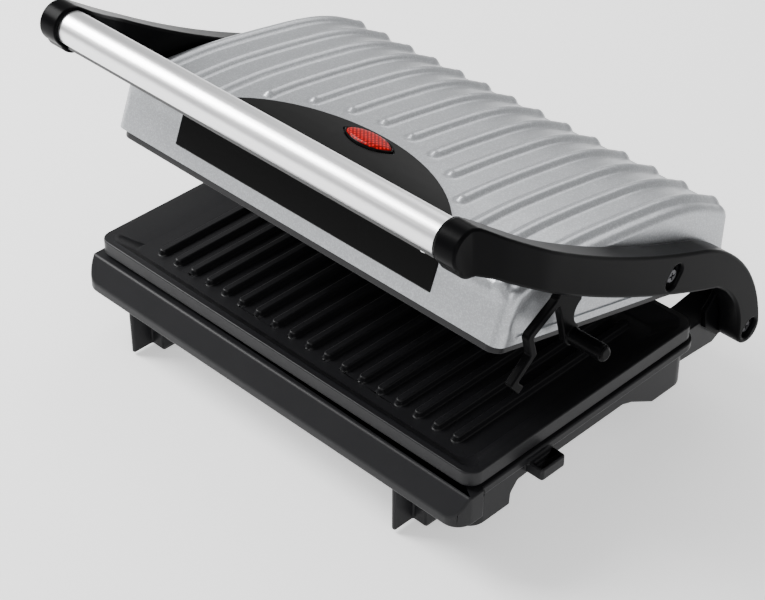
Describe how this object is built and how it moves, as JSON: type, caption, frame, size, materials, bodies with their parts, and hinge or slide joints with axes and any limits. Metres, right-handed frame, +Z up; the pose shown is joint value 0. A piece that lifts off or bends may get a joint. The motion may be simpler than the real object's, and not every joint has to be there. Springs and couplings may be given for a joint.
{
  "type": "panini press",
  "caption": "Countertop contact grill with a ribbed arched lid that floats between two swinging arms, a tubular handle, and a ribbed lower grill plate on a footed base.",
  "frame": {"origin": "middle of the outline at table level, the press standing on its feet with the lid half open", "axes": "+X to the press's own right-hand side as its user faces it from the handle side looking along +Y, +Y from the handle to the rear hinge, +Z up"},
  "size_m": [0.2872, 0.2065, 0.1853],
  "materials": {
    "housing_black": "satin moulded black plastic, slightly grey on the sloped front",
    "cover_steel": "dark coated sheet steel",
    "nonstick": "black non-stick coating on cast aluminium",
    "heater_steel": "dull grey heat-tinted tube",
    "shield_aluminium": "thin bright sheet",
    "ceramic_white": "glazed off-white ceramic",
    "terminal_white": "off-white plastic",
    "rubber_black": "matt black rubber",
    "screw_steel": "zinc-plated",
    "screw_chrome": "bright plated",
    "lid_silver": "fine-speckled satin silver paint",
    "panel_black": "satin black",
    "front_gloss": "deep gloss black",
    "lens_red": "clear bright red with a cross-hatched back, lit",
    "lamp_body": "off-white lamp holder",
    "arm_black": "smooth satin black plastic",
    "tube_aluminium": "satin drawn aluminium with fine lengthwise lines",
    "strip_black": "satin black",
    "pin_black": "blackened steel"
  },
  "bodies": {
    "base": {"base_housing": "housing_black", "base_bottom_cover": "cover_steel", "lower_grill_plate": "nonstick", "lower_heating_element": "heater_steel", "lower_heat_shield": "shield_aluminium", "lower_thermostat": "ceramic_white", "thermal_fuse": "ceramic_white", "terminal_block": "terminal_white", "lead_bush": "rubber_black", "foot_pads": "rubber_black", "base_screws": "screw_steel", "cover_screws": "screw_steel"},
    "handle": {"left_arm": "arm_black", "right_arm": "arm_black", "handle_tube": "tube_aluminium", "tube_strip": "strip_black", "handle_screws": "screw_chrome", "hinge_cover": "arm_black", "arm_cover_screws": "screw_steel", "hinge_pins": "pin_black", "lid_pivots": "pin_black", "latch_pin": "pin_black"},
    "lid": {"lid_shell": "lid_silver", "half_moon_panel": "panel_black", "front_plate": "front_gloss", "indicator_lens": "lens_red", "indicator_lamp": "lamp_body", "upper_grill_plate": "nonstick", "upper_heating_element": "heater_steel", "upper_heat_shield": "shield_aluminium", "upper_thermostat": "ceramic_white", "upper_plate_screws": "screw_steel"},
    "latch": {"latch": "arm_black"}
  },
  "joints": [
    {"name": "arm_hinge", "type": "hinge", "parent": "base", "child": "handle", "pos_m": [-0.0066, 0.0949, 0.0406], "axis": [1, 0, 0], "range_deg": [-60, 21.6]},
    {"name": "lid_float", "type": "hinge", "parent": "handle", "child": "lid", "pos_m": [-0.0066, 0.0306, 0.1034], "axis": [1, 0, 0], "range_deg": [-7, 19.3]},
    {"name": "latch_swing", "type": "hinge", "parent": "handle", "child": "latch", "pos_m": [0.123, -0.0316, 0.132], "axis": [1, 0, 0], "range_deg": [-5, 28]}
  ],
  "couplings": [
    {"joint": "lid_float", "follows": "arm_hinge", "ratio": -0.3194}
  ]
}
